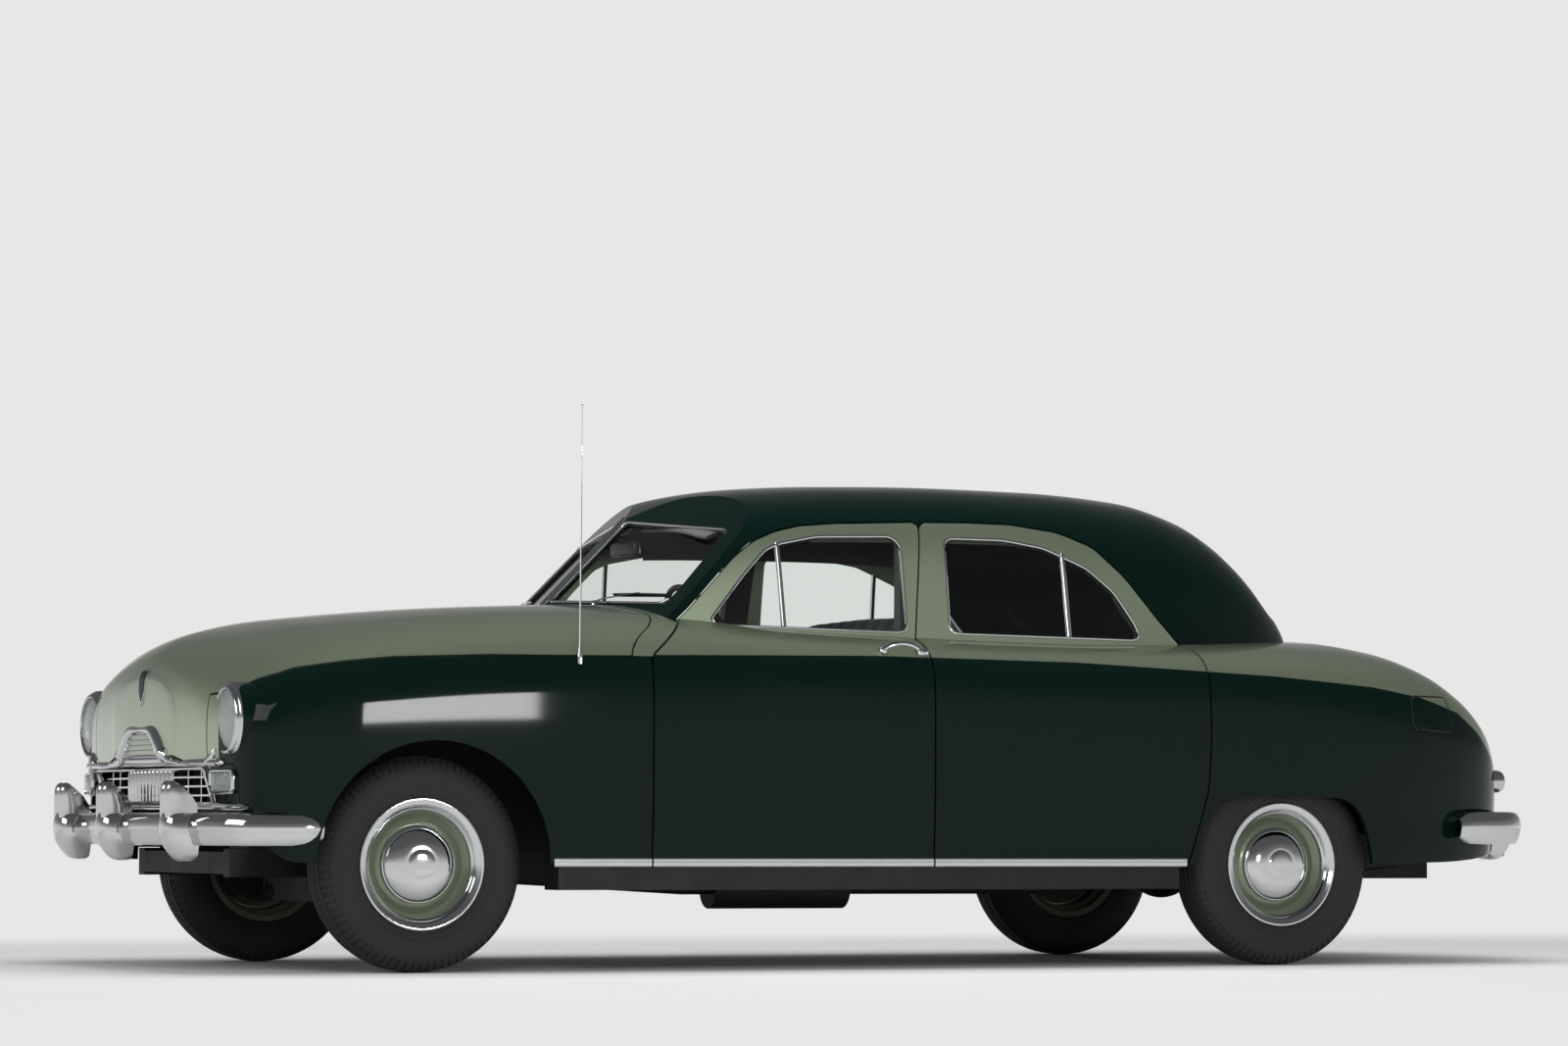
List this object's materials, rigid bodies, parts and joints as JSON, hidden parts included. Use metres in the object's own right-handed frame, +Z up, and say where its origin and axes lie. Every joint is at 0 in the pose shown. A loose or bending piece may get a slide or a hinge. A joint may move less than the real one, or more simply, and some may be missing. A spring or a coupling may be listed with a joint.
{
  "type": "classic four-door sedan",
  "caption": "Late 1940s slab-sided four-door sedan in two-tone green with opening doors, hood and trunk, steered front wheels and heavy chrome bumpers.",
  "frame": {"origin": "on the ground under the middle of the overall length and width", "axes": "+X towards the front of the car, +Y towards its left side, +Z up"},
  "size_m": [5.2099, 1.86, 1.818],
  "materials": {
    "paint_dark": "gloss dark green enamel",
    "paint_light": "gloss light sage green enamel",
    "wheel_paint": "gloss light green enamel",
    "chassis_black": "satin black",
    "engine": "painted",
    "glass": "clear",
    "chrome": "polished",
    "tyre": "matt",
    "fabric": "woven",
    "dash": "satin",
    "steering": "gloss",
    "lamp": "clear",
    "tail_lamp": "gloss"
  },
  "bodies": {
    "body": {"roof": "paint_dark", "fixed_glass": "glass", "cowl": "paint_light", "front_panel": "paint_dark", "front_fender_left": "paint_dark", "front_fender_right": "paint_dark", "rear_deck": "paint_light", "rear_quarter_left": "paint_dark", "rear_quarter_right": "paint_dark", "front_suspension": "chassis_black", "rear_axle": "chassis_black", "frame": "chassis_black", "floor": "chassis_black", "engine": "engine", "driveline": "chassis_black", "fuel_tank": "chassis_black", "seats": "fabric", "dashboard": "dash", "grille": "chrome", "front_lamps": "lamp", "tail_lamps": "tail_lamp", "antenna": "chrome", "front_bumper": "chrome", "rear_bumper": "chrome"},
    "door_front_left": {"door_front_left": "paint_dark", "glass_front_left": "glass"},
    "door_front_right": {"door_front_right": "paint_dark", "glass_front_right": "glass"},
    "door_rear_left": {"door_rear_left": "paint_dark", "glass_rear_left": "glass"},
    "door_rear_right": {"door_rear_right": "paint_dark", "glass_rear_right": "glass"},
    "hood": {"hood": "paint_light", "hood_crown": "chrome"},
    "trunk_lid": {"trunk_lid": "paint_light"},
    "knuckle_left": {"knuckle_left": "chassis_black"},
    "knuckle_right": {"knuckle_right": "chassis_black"},
    "wheel_front_left": {"tyre_front_left": "tyre", "wheel_front_left": "wheel_paint"},
    "wheel_front_right": {"tyre_front_right": "tyre", "wheel_front_right": "wheel_paint"},
    "wheel_rear_left": {"tyre_rear_left": "tyre", "wheel_rear_left": "wheel_paint"},
    "wheel_rear_right": {"tyre_rear_right": "tyre", "wheel_rear_right": "wheel_paint"},
    "steering_wheel": {"steering_wheel": "steering"}
  },
  "joints": [
    {"name": "door_front_left_hinge", "type": "hinge", "parent": "body", "child": "door_front_left", "pos_m": [1.035, 0.931, 0.8], "axis": [0, 0, -1], "range_deg": [0, 65]},
    {"name": "door_front_right_hinge", "type": "hinge", "parent": "body", "child": "door_front_right", "pos_m": [1.035, -0.931, 0.8], "axis": [0, 0, 1], "range_deg": [0, 65]},
    {"name": "door_rear_left_hinge", "type": "hinge", "parent": "body", "child": "door_rear_left", "pos_m": [0.02, 0.931, 0.8], "axis": [0, 0, -1], "range_deg": [0, 65]},
    {"name": "door_rear_right_hinge", "type": "hinge", "parent": "body", "child": "door_rear_right", "pos_m": [0.02, -0.931, 0.8], "axis": [0, 0, 1], "range_deg": [0, 65]},
    {"name": "hood_hinge", "type": "hinge", "parent": "body", "child": "hood", "pos_m": [0.963, 0, 1.208], "axis": [0, -1, 0], "range_deg": [0, 45]},
    {"name": "trunk_hinge", "type": "hinge", "parent": "body", "child": "trunk_lid", "pos_m": [-1.865, 0, 1.112], "axis": [0, 1, 0], "range_deg": [0, 70]},
    {"name": "steer_left", "type": "hinge", "parent": "body", "child": "knuckle_left", "pos_m": [1.785, 0.66, 0.344], "axis": [0, 0, 1], "range_deg": [-30, 30]},
    {"name": "steer_right", "type": "hinge", "parent": "body", "child": "knuckle_right", "pos_m": [1.785, -0.66, 0.344], "axis": [0, 0, 1], "range_deg": [-30, 30]},
    {"name": "spin_front_left", "type": "hinge", "parent": "knuckle_left", "child": "wheel_front_left", "pos_m": [1.785, 0.7365, 0.344], "axis": [0, 1, 0], "continuous": true},
    {"name": "spin_front_right", "type": "hinge", "parent": "knuckle_right", "child": "wheel_front_right", "pos_m": [1.785, -0.7365, 0.344], "axis": [0, 1, 0], "continuous": true},
    {"name": "spin_rear_left", "type": "hinge", "parent": "body", "child": "wheel_rear_left", "pos_m": [-1.352, 0.762, 0.344], "axis": [0, 1, 0], "continuous": true},
    {"name": "spin_rear_right", "type": "hinge", "parent": "body", "child": "wheel_rear_right", "pos_m": [-1.352, -0.762, 0.344], "axis": [0, 1, 0], "continuous": true},
    {"name": "steering_wheel_turn", "type": "hinge", "parent": "body", "child": "steering_wheel", "pos_m": [0.605, 0.37, 1.077], "axis": [-0.8829, 0, 0.4695], "range_deg": [-540, 540]}
  ],
  "couplings": [
    {"joint": "steer_right", "follows": "steer_left", "ratio": 1}
  ]
}
